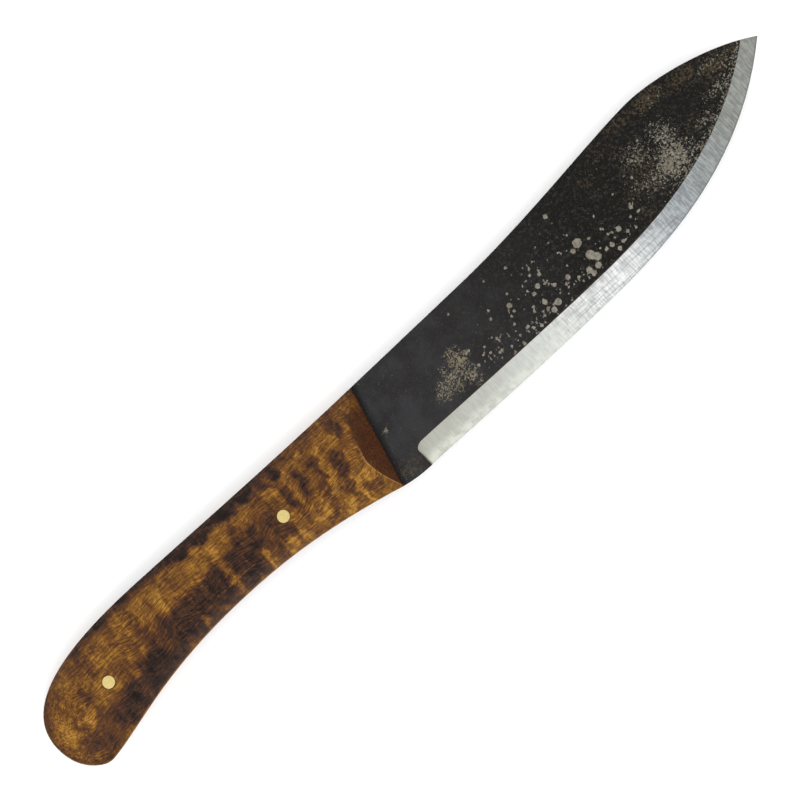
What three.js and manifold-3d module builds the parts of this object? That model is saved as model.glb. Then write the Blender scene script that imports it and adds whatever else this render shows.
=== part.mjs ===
// A forged full-tang knife: one piece of steel that is blade and tang, two wooden handle scales
// and two brass pins. Millimetres.
//
// The knife lies on its left side. While it is built, +X runs from the handle to the tip, +Y towards
// the spine and +Z towards the knife's right side. z = 0 is the middle of the steel, and x = y = 0 is
// the middle of the line where the wood ends. The finished group is then moved so that its origin is
// the centre of the footprint, level with the flat face of the lower scale.

import * as THREE from "three";
import { mergeVertices } from "three/addons/utils/BufferGeometryUtils.js";
import Module from "manifold-3d";

// Steel
const STEEL_THICKNESS = 3.2; // tang and ricasso
const TIP_THICKNESS = 1.5; // the tapering flats are this far apart at the tip
const TAPER_START_X = 9; // the flats are parallel behind here
const BEVEL_WIDTH = 7.6; // at the heel
const TIP_BEVEL_WIDTH = 5;
const BEVEL_NARROWING = 3; // the higher, the later the bevel narrows towards the tip
const BEVEL_ROUNDNESS = 0.22; // how far the ground bevel bulges, 0 for a flat one
const EDGE_THICKNESS = 0.1;
const PLUNGE_LENGTH = 0.9; // the bevel's end wall runs out over this length
const PLUNGE_CORNER = 2.6; // radius of the bevel's upper rear corner

// Wood
const SCALE_THICKNESS = 7.6;
const RIM_HEIGHT = 0.6; // the wood's own wall above the tang's outline
const LAND_WIDTH = 8; // the flat strip that holds the pins; the wood rounds down all round it
const LAND_END_X = -115; // middle of the strip's round rear end
const SHOULDER_POWER = 1.6; // 1 is a plain chamfer, 2 a parabola
const FACET_LENGTH = 6.6; // the sloping front facet, square to the front line
const FACET_STEP = 0.7; // upright front wall below the facet

// Brass
const PIN_DIAMETER = 3.97;
const PIN_CLEARANCE = 0.05; // on the radius
const PIN_SIDES = 48;
const PIN_Y = 2.4;
const PINS = [
  { name: "front_pin", x: -36.8 },
  { name: "rear_pin", x: -109 },
];

// Corners and extreme points of the side outline
const TIP = new THREE.Vector2(165.6, 9.1);
const HUMP = new THREE.Vector2(124, 21.5);
const SPINE_BEND = new THREE.Vector2(50, 16.5);
const FRONT_TOP = new THREE.Vector2(4.5, 16.5);
const CREST = new THREE.Vector2(-89, 18.4);
const BUTT = new THREE.Vector2(-134, -1.5);
const BUTT_TOE = new THREE.Vector2(-127, -14.6);
const TOE = new THREE.Vector2(-122.5, -15.2);
const WAIST = new THREE.Vector2(-65, -7.2);
const FRONT_BOTTOM = new THREE.Vector2(-4.4, -15.9);
const HEEL = new THREE.Vector2(6.4, -17.1);
const BELLY = new THREE.Vector2(72, -18.15);

const CURVE_SEGMENTS = 24;
const BEYOND = 4; // how far a cutter reaches past what it cuts
const CUTTER_WIDTH = 80;
const HALF_STEEL = STEEL_THICKNESS / 2;
const HEEL_CROWDING = 2.2; // 1 spaces the bevel's sections evenly, more crowds them at the heel
const PLUNGE_START_X = HEEL.x - 0.3;
const FRONT_DIRECTION = FRONT_TOP.clone().sub(FRONT_BOTTOM).normalize();

const wasm = await Module();
wasm.setup();

// ---------------------------------------------------------------- outline

// A cubic curve from one outline point to the next, with its two handles.
function curve(from, handleA, handleB, to) {
  return new THREE.CubicBezierCurve(
    from,
    new THREE.Vector2(...handleA),
    new THREE.Vector2(...handleB),
    to,
  );
}

// The cutting edge, from the heel to the tip.
function edgeCurves() {
  return [
    curve(HEEL, [11, -16.8], [35, -18.15], BELLY),
    curve(BELLY, [99, -18.15], [134.8, -17.5], TIP),
  ];
}

// The rest of the outline: spine, butt and grip, from the tip round to the heel.
function backCurves() {
  return [
    curve(TIP, [152.2, 17.8], [133, 21.5], HUMP),
    curve(HUMP, [110, 21.5], [78, 16.5], SPINE_BEND),
    new THREE.LineCurve(SPINE_BEND, FRONT_TOP),
    curve(FRONT_TOP, [-35, 16.5], [-75, 18.4], CREST),
    curve(CREST, [-115, 18.4], [-134, 13.9], BUTT),
    curve(BUTT, [-134, -8.5], [-130.5, -12.6], BUTT_TOE),
    curve(BUTT_TOE, [-125.5, -15.4], [-124.3, -15.5], TOE),
    curve(TOE, [-111, -13.6], [-95.3, -7.2], WAIST),
    curve(WAIST, [-46.9, -7.2], [-30.3, -8.8], FRONT_BOTTOM),
    curve(FRONT_BOTTOM, [-0.5, -16.8], [2.5, -17.1], HEEL),
  ];
}

function outlinePoints() {
  const curves = [...edgeCurves(), ...backCurves()];
  return curves.flatMap((c) => {
    const segments = c.isLineCurve ? 1 : CURVE_SEGMENTS;
    return c.getPoints(segments).slice(1);
  });
}

const OUTLINE = outlinePoints();

// Lowest and highest y of the outline at a place along the knife.
function outlineSpan(x) {
  const crossings = OUTLINE.flatMap((a, i) => {
    const b = OUTLINE[(i + 1) % OUTLINE.length];
    if (a.x <= x === b.x <= x) return [];
    return [a.y + ((b.y - a.y) * (x - a.x)) / (b.x - a.x)];
  });
  return [Math.min(...crossings), Math.max(...crossings)];
}

// How far a place inside the outline is from it.
function distanceToOutline(x, y) {
  const closest = new THREE.Vector3();
  const from = new THREE.Vector3(x, y, 0);
  const line = new THREE.Line3();
  const distances = OUTLINE.map((a, i) => {
    const b = OUTLINE[(i + 1) % OUTLINE.length];
    line.start.set(a.x, a.y, 0);
    line.end.set(b.x, b.y, 0);
    return line.closestPointToPoint(from, true, closest).distanceTo(from);
  });
  return Math.min(...distances);
}

// ---------------------------------------------------------------- solids

// Turns a closed three.js geometry into a manifold-3d solid that faces out.
function solidOf(geometry) {
  const bare = new THREE.BufferGeometry();
  bare.setAttribute("position", geometry.getAttribute("position"));
  if (geometry.index) bare.setIndex(geometry.index);
  const merged = mergeVertices(bare, 1e-4);
  const vertProperties = new Float32Array(merged.getAttribute("position").array);
  const triVerts = new Uint32Array(merged.index.array);
  const solid = new wasm.Manifold(new wasm.Mesh({ numProp: 3, vertProperties, triVerts }));
  if (solid.volume() > 0) return solid;
  triVerts.reverse();
  return new wasm.Manifold(new wasm.Mesh({ numProp: 3, vertProperties, triVerts }));
}

function geometryOf(solid) {
  const mesh = solid.getMesh();
  const geometry = new THREE.BufferGeometry();
  geometry.setAttribute("position", new THREE.BufferAttribute(mesh.vertProperties, 3));
  geometry.setIndex(new THREE.BufferAttribute(mesh.triVerts, 1));
  geometry.computeVertexNormals();
  return geometry;
}

// A closed skin over a row of rings with equal point counts, each end closed from its own centre.
function loft(rings) {
  const size = rings[0].length;
  const centres = [rings[0], rings.at(-1)].map((ring) =>
    ring.reduce((sum, p) => sum.add(p), new THREE.Vector3()).divideScalar(size),
  );
  const first = rings.length * size;
  const index = [];
  for (let i = 0; i < size; i++) {
    const j = (i + 1) % size;
    index.push(first, j, i);
    index.push(first + 1, first - size + i, first - size + j);
    for (let r = 0; r < rings.length - 1; r++) {
      const a = r * size;
      const b = a + size;
      index.push(a + i, a + j, b + i);
      index.push(a + j, b + j, b + i);
    }
  }
  const geometry = new THREE.BufferGeometry().setFromPoints([...rings.flat(), ...centres]);
  geometry.setIndex(index);
  return geometry;
}

// A cutter drawn in x and z, wider than the knife and centred on y = 0.
function wideCutter(shape) {
  const geometry = new THREE.ExtrudeGeometry(shape, { depth: CUTTER_WIDTH, bevelEnabled: false });
  return geometry.rotateX(Math.PI / 2).translate(0, CUTTER_WIDTH / 2, 0);
}

function mirrored(geometry) {
  return geometry.clone().scale(1, 1, -1);
}

function pinCylinder(pin, radius, length) {
  return new THREE.CylinderGeometry(radius, radius, length, PIN_SIDES)
    .rotateX(Math.PI / 2)
    .translate(pin.x, PIN_Y, 0);
}

// ---------------------------------------------------------------- blade and tang

// Half the steel's thickness between its flats.
function halfThickness(x) {
  const share = Math.max((x - TAPER_START_X) / (TIP.x - TAPER_START_X), 0);
  return THREE.MathUtils.lerp(HALF_STEEL, TIP_THICKNESS / 2, share);
}

// The steel above one flat where the blade thins towards the tip.
function taperCutter() {
  const end = TIP.x + BEYOND;
  const above = HALF_STEEL + BEYOND;
  const shape = new THREE.Shape();
  shape.moveTo(TAPER_START_X, HALF_STEEL);
  shape.lineTo(end, halfThickness(end));
  shape.lineTo(end, above);
  shape.lineTo(TAPER_START_X, above);
  return wideCutter(shape);
}

// How wide the bevel is: nearly even at first, then quickly narrower, with a rounded rear corner.
function bevelWidth(x) {
  const share = Math.max((x - HEEL.x) / (TIP.x - HEEL.x), 0);
  const width = THREE.MathUtils.lerp(BEVEL_WIDTH, TIP_BEVEL_WIDTH, share ** BEVEL_NARROWING);
  const toArc = PLUNGE_CORNER - THREE.MathUtils.clamp(x - PLUNGE_START_X, 0, PLUNGE_CORNER);
  return width - PLUNGE_CORNER + Math.sqrt(PLUNGE_CORNER ** 2 - toArc ** 2);
}

// One section of the ground-away steel, square to the edge, less deep inside the plunge.
function bevelRing(edgePoint, inward) {
  const steps = 4;
  const above = HALF_STEEL + BEYOND;
  const width = bevelWidth(edgePoint.x);
  const plunged = THREE.MathUtils.clamp((edgePoint.x - PLUNGE_START_X) / PLUNGE_LENGTH, 0, 1);
  const cut = Math.sin((plunged * Math.PI) / 2);
  const at = (inset, z) =>
    new THREE.Vector3(edgePoint.x + inward.x * inset, edgePoint.y + inward.y * inset, z);
  const flat = halfThickness(at(width, 0).x);
  const ring = [];
  for (let k = 0; k <= steps; k++) {
    const s = k / steps;
    const ground = flat * (1 - s) * (1 + BEVEL_ROUNDNESS * s);
    const full = Math.max(ground, EDGE_THICKNESS / 2);
    ring.push(at(width * (1 - s), THREE.MathUtils.lerp(flat, full, cut)));
  }
  const edgeHeight = ring.at(-1).z;
  ring.push(at(-BEYOND, edgeHeight), at(-BEYOND, above), at(width, above));
  return ring;
}

// The steel ground away on one side: from the start of the plunge, along the edge, past the tip.
function bevelCutter() {
  const rings = [bevelRing(new THREE.Vector2(PLUNGE_START_X, HEEL.y), new THREE.Vector2(0, 1))];
  edgeCurves().forEach((edge, i) => {
    const crowding = i === 0 ? HEEL_CROWDING : 1;
    for (let k = 1; k <= CURVE_SEGMENTS; k++) {
      const u = (k / CURVE_SEGMENTS) ** crowding;
      const tangent = edge.getTangentAt(u);
      rings.push(bevelRing(edge.getPointAt(u), new THREE.Vector2(-tangent.y, tangent.x)));
    }
  });
  const beyond = edgeCurves().at(-1).getTangentAt(1);
  const inward = new THREE.Vector2(-beyond.y, beyond.x);
  rings.push(bevelRing(TIP.clone().addScaledVector(beyond, BEYOND), inward));
  return loft(rings);
}

function blade() {
  const blank = new THREE.ExtrudeGeometry(new THREE.Shape(OUTLINE), {
    depth: STEEL_THICKNESS,
    bevelEnabled: false,
  }).translate(0, 0, -HALF_STEEL);
  const hole = PIN_DIAMETER / 2 + PIN_CLEARANCE;
  const cutters = [
    taperCutter(),
    mirrored(taperCutter()),
    bevelCutter(),
    mirrored(bevelCutter()),
    ...PINS.map((pin) => pinCylinder(pin, hole, STEEL_THICKNESS * 2)),
  ];
  return geometryOf(cutters.reduce((steel, c) => steel.subtract(solidOf(c)), solidOf(blank)));
}

// ---------------------------------------------------------------- handle scales

// The wood's height above the tang at a point: full on the land, rounded down to the outline.
function scaleHeight(x, y) {
  const behindLand = Math.min(x - LAND_END_X, 0);
  const toLand = Math.max(Math.hypot(behindLand, y - PIN_Y) - LAND_WIDTH / 2, 0);
  const outwards = toLand / (toLand + distanceToOutline(x, y));
  return THREE.MathUtils.lerp(SCALE_THICKNESS, RIM_HEIGHT, outwards ** SHOULDER_POWER);
}

// One section of a scale before its front is cut, from the grip side over the dome to the spine side.
function scaleRing(x) {
  const steps = 18;
  const [low, high] = outlineSpan(x);
  const ring = [new THREE.Vector3(x, low, 0)];
  for (let k = 0; k <= steps; k++) {
    const share = (1 - Math.cos((Math.PI * k) / steps)) / 2;
    const y = THREE.MathUtils.lerp(low, high, share);
    ring.push(new THREE.Vector3(x, y, scaleHeight(x, y)));
  }
  ring.push(new THREE.Vector3(x, high, 0));
  return ring;
}

// A scale's block, which still runs on over the ricasso.
function scaleBlock() {
  const stations = 48;
  const firstX = BUTT.x + 0.02;
  const rings = [];
  for (let k = 0; k <= stations; k++) {
    const share = 1 - Math.cos((Math.PI / 2) * (k / stations));
    rings.push(scaleRing(THREE.MathUtils.lerp(firstX, HEEL.x, share)));
  }
  return loft(rings);
}

// Everything in front of the wood: an upright step on the front line, then the sloping facet.
function frontCutter() {
  const ahead = CUTTER_WIDTH / 2;
  const above = SCALE_THICKNESS + BEYOND;
  const slope = FACET_LENGTH / (SCALE_THICKNESS - FACET_STEP);
  const shape = new THREE.Shape();
  shape.moveTo(0, -BEYOND);
  shape.lineTo(ahead, -BEYOND);
  shape.lineTo(ahead, above);
  shape.lineTo(-slope * (above - FACET_STEP), above);
  shape.lineTo(0, FACET_STEP);
  const slant = FRONT_DIRECTION.angle() - Math.PI / 2;
  const middle = FRONT_TOP.clone().add(FRONT_BOTTOM).multiplyScalar(0.5);
  return wideCutter(shape).rotateZ(slant).translate(middle.x, middle.y, 0);
}

function rightScale() {
  const hole = PIN_DIAMETER / 2 + PIN_CLEARANCE;
  const cutters = [
    frontCutter(),
    ...PINS.map((pin) => pinCylinder(pin, hole, SCALE_THICKNESS * 4)),
  ];
  const wood = cutters.reduce((s, c) => s.subtract(solidOf(c)), solidOf(scaleBlock()));
  return geometryOf(wood).translate(0, 0, HALF_STEEL);
}

// ---------------------------------------------------------------- assembly

const FORGED_STEEL = { color: 0x2e2d2c, roughness: 0.55, metalness: 0.9 };
const STAINED_MAPLE = { color: 0x6e4a22, roughness: 0.45, metalness: 0 };
const BRASS = { color: 0xe3cf86, roughness: 0.35, metalness: 1 };

function part(name, geometry, look) {
  const mesh = new THREE.Mesh(geometry, new THREE.MeshStandardMaterial(look));
  mesh.name = name;
  return mesh;
}

const right = rightScale();
const left = geometryOf(solidOf(mirrored(right)));
const pinLength = STEEL_THICKNESS + 2 * SCALE_THICKNESS;
const knife = new THREE.Group();
knife.add(part("blade", blade(), FORGED_STEEL));
knife.add(part("right_handle_scale", right, STAINED_MAPLE));
knife.add(part("left_handle_scale", left, STAINED_MAPLE));
for (const pin of PINS) {
  knife.add(part(pin.name, pinCylinder(pin, PIN_DIAMETER / 2, pinLength), BRASS));
}

const box = new THREE.Box3().setFromObject(knife);
const centre = box.getCenter(new THREE.Vector3());
knife.position.set(-centre.x, -centre.y, -box.min.z);

export default knife;
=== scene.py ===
import math

import bpy
import numpy as np
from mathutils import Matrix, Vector
from mathutils.bvhtree import BVHTree

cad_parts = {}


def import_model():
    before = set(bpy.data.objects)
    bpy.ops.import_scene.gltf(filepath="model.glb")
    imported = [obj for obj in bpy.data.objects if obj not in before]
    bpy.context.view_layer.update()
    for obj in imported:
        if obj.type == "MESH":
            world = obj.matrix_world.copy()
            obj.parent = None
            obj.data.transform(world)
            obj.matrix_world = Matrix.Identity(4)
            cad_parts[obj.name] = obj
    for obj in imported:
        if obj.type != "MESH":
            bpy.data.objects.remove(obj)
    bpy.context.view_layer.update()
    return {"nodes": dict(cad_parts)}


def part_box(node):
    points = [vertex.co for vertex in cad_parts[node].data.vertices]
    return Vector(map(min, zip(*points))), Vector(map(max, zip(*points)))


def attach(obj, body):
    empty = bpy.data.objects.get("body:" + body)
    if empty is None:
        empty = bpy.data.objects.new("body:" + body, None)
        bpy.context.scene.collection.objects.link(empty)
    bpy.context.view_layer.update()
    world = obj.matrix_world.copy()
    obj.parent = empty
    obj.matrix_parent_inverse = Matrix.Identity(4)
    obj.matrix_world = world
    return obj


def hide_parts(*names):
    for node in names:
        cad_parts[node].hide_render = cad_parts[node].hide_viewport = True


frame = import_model()

MM = 0.001
FAR = 60.0  # farther out than any part of the knife, where measuring rays start
END_GAP = 0.02  # the first and last sections stop this far inside the steel's ends
FRONT_PIN_PLACE = (-36.8, 2.4)

# Steel
EDGE_THICKNESS = 0.1
BEVEL_ROUNDNESS = 0.22  # how far the ground bevel bulges, 0 for a flat one
FINEST = 0.004  # a height difference that counts as ground away
PLUNGE_LENGTH = 0.6  # the bevel's end wall runs out over this length
SPINE_RADIUS = 0.35
TANG_RADIUS = 0.03
FORGED_WAVES = ((15.0, 0.03), (4.0, 0.008))  # size and height of the hammered unevenness
FLAKE_DEPTH = 0.03  # how deep the forge scale has flaked off in its worn spots
BLADE_TURN_X = 75.0  # the left side's wear is the right side's turned end for end about here

# Wood
FRONT_LINE = ((-4.4, -15.9), (4.5, 16.5))  # where the wood ends on the steel
RIM_HEIGHT = 0.6  # the wood's own wall above the tang's outline
LAND_WIDTH = 8.0  # the flat strip that holds the pins
LAND_END_X = -115.0
SHOULDER_POWER = 1.6
FACET_LENGTH = 6.6  # the sloping front facet, square to the front line
FACET_STEP = 0.7
RIDGE_SOFTNESS = 0.1  # how round the facet's ridge is worn
HANDLE_TURN_X = -66.0  # the left scale's figure is the right one's turned end for end about here
STAIN_LEVEL = 0.585  # how light plain stained wood is, from 0, near black, to 1, pale gold

# Pins
PIN_CLEARANCE = 0.05
PIN_CROWN = 0.03  # how far the middle of a pin's end stands above its rim
PIN_RIM = 0.12  # radius of the broken rim
PIN_SIDES = 64

# Facets that meet more sharply than this, in degrees, show an edge.
STEEL_EDGE, WOOD_EDGE, BRASS_EDGE = 12, 32, 40

# Camera, looking straight down
CAMERA_CENTRE = (12.54, 3.62)  # the point of the knife under it
CAMERA_DISTANCE = 8000.0
CAMERA_LENS = 1200.0
CAMERA_TURN = -43.5

# Room and lamps. Each lamp has its name, the way to it in the row frame, its distance and size in
# metres, and its power in watts.
ROOM_LIGHT = 1.38
LIGHT_LEVEL = 1.42  # how much brighter than itself a white surface shows in this light
FLOOR_HALF = 3.0
FLOOR_WHITE = (0.97, 0.97, 0.97, 1.0)
SOFTBOXES = (
    ("grip_side_softbox", (-0.45, -0.5, 0.8), 0.9, 0.6, 2.2),
    ("spine_side_softbox", (0.3, 0.8, 0.8), 1.1, 0.7, 1.7),
)


# ---------------------------------------------------------------- the frame, measured

def corners(node):
    """Lowest and highest corner of a CAD node, in row millimetres."""
    low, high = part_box(node)
    return np.array(low) / MM, np.array(high) / MM


def middle(node):
    return sum(corners(node)) / 2


ORIGIN = np.append(middle("front_pin")[:2] - FRONT_PIN_PLACE, middle("blade")[2])
STEEL_LOW, STEEL_HIGH = (corner - ORIGIN for corner in corners("blade"))
PINS = {name: middle(name) - ORIGIN for name in ("front_pin", "rear_pin")}
PIN_LOW, PIN_HIGH = (corner - ORIGIN for corner in corners("front_pin"))
PIN_RADIUS = (PIN_HIGH[0] - PIN_LOW[0]) / 2
HALF_STEEL = STEEL_HIGH[2]
SCALE_THICKNESS = PIN_HIGH[2] - HALF_STEEL
BUTT_X, TIP_X = STEEL_LOW[0], STEEL_HIGH[0]


def steel_surface():
    """The CAD blade's surface, in knife millimetres, for measuring with rays."""
    mesh = frame["nodes"]["blade"].data
    places = [Vector(np.array(v.co) / MM - ORIGIN) for v in mesh.vertices]
    return BVHTree.FromPolygons(places, [p.vertices for p in mesh.polygons])


STEEL = steel_surface()


def outline_at(x):
    """The steel's lowest and highest point across, at a place along the knife."""
    height = EDGE_THICKNESS / 5
    low = STEEL.ray_cast(Vector((x, -FAR, height)), Vector((0, 1, 0)))[0]
    high = STEEL.ray_cast(Vector((x, FAR, height)), Vector((0, -1, 0)))[0]
    return low.y, high.y


def steel_height(x, y):
    hit = STEEL.ray_cast(Vector((x, y, FAR)), Vector((0, 0, -1)))[0]
    return hit.z if hit else 0.0


def bisect(holds, start, end, steps=24):
    """The place between start and end where holds, true at start, turns false."""
    for _ in range(steps):
        half = (start + end) / 2
        start, end = (half, end) if holds(half) else (start, half)
    return start


def stretch(start, end, spacing):
    """Even places from start up to, but not at, end."""
    count = max(int(round((end - start) / spacing)), 1)
    return np.linspace(start, end, count, endpoint=False)


def distance_to_path(places, path):
    """How far each place is from a line through the path's points."""
    starts, steps = path[:-1], np.diff(path, axis=0)
    lengths = np.maximum((steps ** 2).sum(1), 1e-12)
    nearest = np.empty(len(places))
    for first in range(0, len(places), 2000):
        gaps = places[first:first + 2000, None] - starts
        share = np.clip((gaps * steps).sum(2) / lengths, 0, 1)
        gaps -= share[..., None] * steps
        nearest[first:first + 2000] = np.sqrt((gaps ** 2).sum(2).min(1))
    return nearest


def smooth(values, low, high):
    """0 at low, 1 at high and smooth between."""
    share = np.clip((values - low) / (high - low), 0, 1)
    return share * share * (3 - 2 * share)


def ripple(x, y, size, seed, waves=14):
    """A smooth random field between about -1 and 1, with bumps of that size."""
    random = np.random.default_rng(seed)
    field = np.zeros_like(x)
    for _ in range(waves):
        angle, phase = random.uniform(0, 2 * math.pi, 2)
        rate = 2 * math.pi / size * random.uniform(0.6, 1.4)
        field += np.cos(rate * (x * math.cos(angle) + y * math.sin(angle)) + phase)
    return field / math.sqrt(waves)


def eased_end(start, length, count):
    """Places from start over length, closest together at start."""
    return start + length * (1 - np.cos(np.linspace(0, math.pi / 2, count, endpoint=False)))


# ---------------------------------------------------------------- mesh building

def tube(rings):
    """Quads over rings of equal point counts, with each end closed by quads across it."""
    count, size = rings.shape[:2]
    ring = np.arange(size)
    following = (ring + 1) % size
    first = (np.arange(count - 1) * size)[:, None]
    second = first + size
    sides = np.stack([first + ring, second + ring, second + following, first + following], -1)
    low = np.arange(size // 2 - 1)
    cap = np.stack([low, low + 1, size - 2 - low, size - 1 - low], -1)
    end = cap[:, ::-1] + (count - 1) * size
    return rings.reshape(-1, 3), np.concatenate([sides.reshape(-1, 4), cap, end])


def mesh_object(name, places, faces):
    """A new piece from places in knife millimetres."""
    mesh = bpy.data.meshes.new(name)
    mesh.from_pydata(((places + ORIGIN) * MM).tolist(), [], faces.tolist())
    piece = bpy.data.objects.new(name, mesh)
    bpy.context.scene.collection.objects.link(piece)
    return piece


def places_of(piece):
    """A piece's vertices, in knife millimetres."""
    flat = np.empty(len(piece.data.vertices) * 3)
    piece.data.vertices.foreach_get("co", flat)
    return flat.reshape(-1, 3) / MM - ORIGIN


def paint(piece, name, values):
    """Stores one value for each vertex, for the material to read."""
    attribute = piece.data.attributes.new(name, "FLOAT", "POINT")
    attribute.data.foreach_set("value", values.astype(np.float32))


def smooth_shading(piece, sharp_angle):
    mesh = piece.data
    mesh.validate()
    mesh.polygons.foreach_set("use_smooth", [True] * len(mesh.polygons))
    mesh.set_sharp_from_angle(angle=math.radians(sharp_angle))


def place_in_frame(piece, node, material):
    """Gives a piece its material and stands it in for its CAD node."""
    piece.data.materials.append(material)
    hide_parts(node)
    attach(piece, "root")


# ---------------------------------------------------------------- blade

BEVEL_ROWS = 18
FLAT_ROWS = 62
CORNER_ROWS = 4
BEVEL_SHARE = 0.88  # the most of a section's width that the bevel's rows take up
NEAR_SPINE = 0.3  # this close to the spine, the bevel's line has met it
# Two places on the flat, clear of the bevel, that show how the steel thins towards the tip
NEAR_FLAT, FAR_FLAT = (40.0, 10.0), (TIP_X - 40.0, 14.0)


def flat_height(x):
    """Half the steel's thickness between its flats, which taper towards the tip."""
    near, far = steel_height(*NEAR_FLAT), steel_height(*FAR_FLAT)
    share = (x - NEAR_FLAT[0]) / (FAR_FLAT[0] - NEAR_FLAT[0])
    return np.minimum(near + (far - near) * share, HALF_STEEL)


def plunge_start():
    """Where the bevel begins, along the knife, looked for just above the edge's line."""
    height = outline_at(0)[0] + 3
    return bisect(lambda x: steel_height(x, height) > HALF_STEEL - FINEST, 0, 12)


PLUNGE_X = plunge_start()


def bevel_line(xs, low, high):
    """How high the bevel's inner line runs, going straight on past the place where it meets the spine."""
    line = np.empty_like(xs)
    for i, x in enumerate(xs):
        flat = flat_height(x)
        line[i] = bisect(lambda y: steel_height(x, y) < flat - FINEST, low[i] + 0.05, high[i] - 0.01)
    behind = xs <= PLUNGE_X
    first = np.argmax(~behind)
    line[behind] = low[behind] + (line[first] - low[first])
    met = np.argmax((xs > TIP_X / 2) & (high - line < NEAR_SPINE))
    last, earlier = met - 1, met - 13
    slope = (line[last] - line[earlier]) / (xs[last] - xs[earlier])
    line[met:] = line[last] + slope * (xs[met:] - xs[last])
    return line


def blade_stations():
    """Places along the blade for its sections, closest where its shape changes fastest."""
    butt = eased_end(BUTT_X + END_GAP, 12, 30)
    tip = TIP_X - 0.03 - 6 * np.linspace(1, 0, 24) ** 1.6
    return np.concatenate([
        butt,
        stretch(butt[-1] + 0.8, -8, 1.4),
        stretch(-8, PLUNGE_X - 0.5, 0.6),
        stretch(PLUNGE_X - 0.5, PLUNGE_X + 3, 0.1),
        stretch(PLUNGE_X + 3, tip[0], 0.46),
        tip,
    ])


def face_rows(low, line, high):
    """Places across one side of the steel: the bevel's rows, then the flat's."""
    line = min(line, low + BEVEL_SHARE * (high - low))
    bevel = low + (line - low) * np.linspace(0, 1, BEVEL_ROWS, endpoint=False) ** 1.4
    return np.concatenate([bevel, np.linspace(line, high, FLAT_ROWS)])


def side_height(x, y, low, line, flat):
    """The right side's height over one section, before its surface is roughened."""
    share = np.clip((y - low) / (line - low), 0, 1)
    ground = flat * share * (1 + BEVEL_ROUNDNESS * (1 - share))
    ground = np.maximum(ground, EDGE_THICKNESS / 2)
    plunged = np.clip((x - PLUNGE_X) / PLUNGE_LENGTH, 0, 1)
    return flat + (ground - flat) * math.sin(plunged * math.pi / 2)


def blade_ring(x, low, line, high, slope):
    """One section: right side from the edge to the spine, over the spine, and back down the left."""
    flat = flat_height(x)
    radius = SPINE_RADIUS if x > FRONT_LINE[1][0] else TANG_RADIUS
    radius = min(radius, (high - low) / 6, flat / 3)
    inset = min(radius * math.hypot(1, slope), (high - low) / 5)
    y = face_rows(low, line, high - inset)
    z = side_height(x, y, low, line, flat)
    turn = np.linspace(0, math.pi / 2, CORNER_ROWS + 1)[1:]
    corner_y = y[-1] + inset * np.sin(turn)
    corner_z = z[-1] - radius * (1 - np.cos(turn))
    half_y = np.concatenate([y, corner_y])
    half_z = np.concatenate([z, corner_z])
    ys = np.concatenate([half_y, half_y[::-1]])
    zs = np.concatenate([half_z, -half_z[::-1]])
    return np.stack([np.full(len(ys), x), ys, zs], -1)


def roughened(places, marks):
    """Forged unevenness and flaked spots on the flats, fading out at the outline."""
    x, y, z = places.T
    on_flat = smooth(marks["beyond_bevel"], 0.2, 1.5) * smooth(x, FRONT_LINE[1][0] - 2, 12)
    on_flat *= smooth(marks["from_outline"], 0.4, 2) * (np.abs(z) > EDGE_THICKNESS)
    side = np.sign(z)
    rise = -FLAKE_DEPTH * smooth(-marks["from_spot"], -0.1, 0.3)
    for seed, (size, height) in enumerate(FORGED_WAVES):
        rise += height * ripple(x, y * side + 9 * side, size, seed)
    return places + np.stack([0 * x, 0 * y, side * rise * on_flat], -1)


# Worn places in the forge scale on the right side: the larger round spots, as x, y and radius.
ROUND_SPOTS = (
    (55.8, 1.6, 0.85), (63.7, -1.0, 0.7), (66.0, 0.0, 0.85), (64.3, -5.0, 0.8), (64.8, -8.6, 0.95),
    (67.3, -7.7, 1.1), (68.8, 2.2, 0.6), (70.0, -3.2, 0.65), (74.4, -4.3, 0.85), (58.8, -9.4, 0.6),
    (80.9, 0.2, 0.8), (83.4, 1.2, 1.4), (84.0, -4.0, 1.4), (85.2, -5.9, 1.3), (80.6, -7.2, 1.0),
    (81.0, -8.8, 0.9), (83.6, -8.0, 1.0), (82.0, 13.5, 0.75), (88.7, -6.2, 0.6), (90.8, -6.4, 0.8),
    (91.8, -8.8, 0.75), (95.5, -4.3, 0.9), (97.0, -6.6, 0.6), (93.9, -7.8, 0.6), (102.7, -2.0, 0.7),
    (55.5, -6.8, 0.6), (49.0, 2.5, 0.5), (46.3, -3.0, 0.5), (62.8, 10.6, 0.5), (40.7, 12.3, 0.4),
)
# Clouds of small spots: centre, spread and count.
SPOT_CLOUDS = (
    ((63, -4), (10, 5), 110), ((44, -6), (6, 4), 110), ((60, -8), (12, 2), 90), ((78, -7), (9, 3), 60),
    ((68, 4), (9, 4), 60), ((91, -4), (7, 5), 70), ((80, 4), (5, 5), 30), ((102, -3), (5, 5), 50),
    ((50, 4), (9, 5), 16), ((113, 8), (5, 5), 50),
)
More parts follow.
